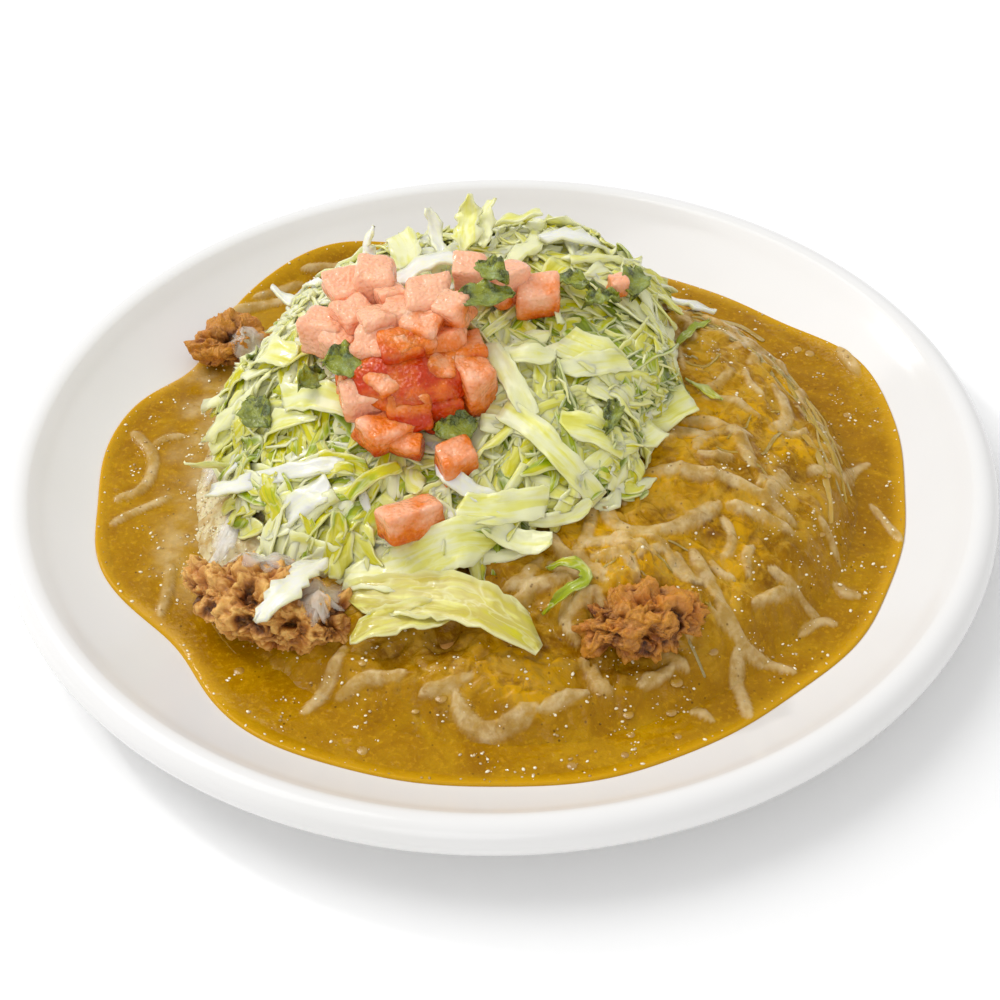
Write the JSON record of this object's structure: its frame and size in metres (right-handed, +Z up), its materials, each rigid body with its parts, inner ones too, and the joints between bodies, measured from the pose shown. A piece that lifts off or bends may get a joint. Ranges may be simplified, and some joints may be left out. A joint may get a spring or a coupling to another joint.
{
  "type": "frybread taco in dish",
  "caption": "Frybread taco served open on a round white plate: puffed frybread under melted cheese and gravy, topped with browned beef, a bed of shredded lettuce, diced tomato and green leaves.",
  "frame": {"origin": "centre of the plate's foot, on the plane that the foot ring stands on", "axes": "+Z up; -Y towards the diner and the side that the picture shows; +X to the diner's right"},
  "size_m": [0.3, 0.2992, 0.0889],
  "materials": {
    "glazed_white": "gloss white glaze",
    "gravy": "glossy golden brown gravy, oily at its edge",
    "frybread": "matt golden fried dough",
    "melted_cheese": "glossy melted cheese under a film of gravy",
    "lettuce": "pale yellow green, moist",
    "browned_beef": "rough, greasy, golden brown to dark brown",
    "tomato": "wet, translucent salmon to orange red",
    "green_leaf": "dark green, wilted, slight sheen"
  },
  "bodies": {
    "root": {"plate": "glazed_white", "sauce": "gravy", "frybread": "frybread", "melted_cheese": "melted_cheese", "lettuce": "lettuce", "beef_crumble_1": "browned_beef", "beef_crumble_2": "browned_beef", "beef_crumble_3": "browned_beef", "tomato_heap": "tomato", "tomato_die_1": "tomato", "tomato_die_2": "tomato", "tomato_die_3": "tomato", "tomato_die_4": "tomato", "tomato_die_5": "tomato", "tomato_die_6": "tomato", "green_leaf_1": "green_leaf", "green_leaf_2": "green_leaf", "green_leaf_3": "green_leaf", "green_leaf_4": "green_leaf", "green_leaf_5": "green_leaf", "green_leaf_6": "green_leaf", "green_leaf_7": "green_leaf", "green_leaf_8": "green_leaf", "green_leaf_9": "green_leaf", "green_leaf_10": "green_leaf", "green_sliver_1": "green_leaf", "green_sliver_2": "green_leaf", "green_sliver_3": "green_leaf"}
  },
  "joints": []
}
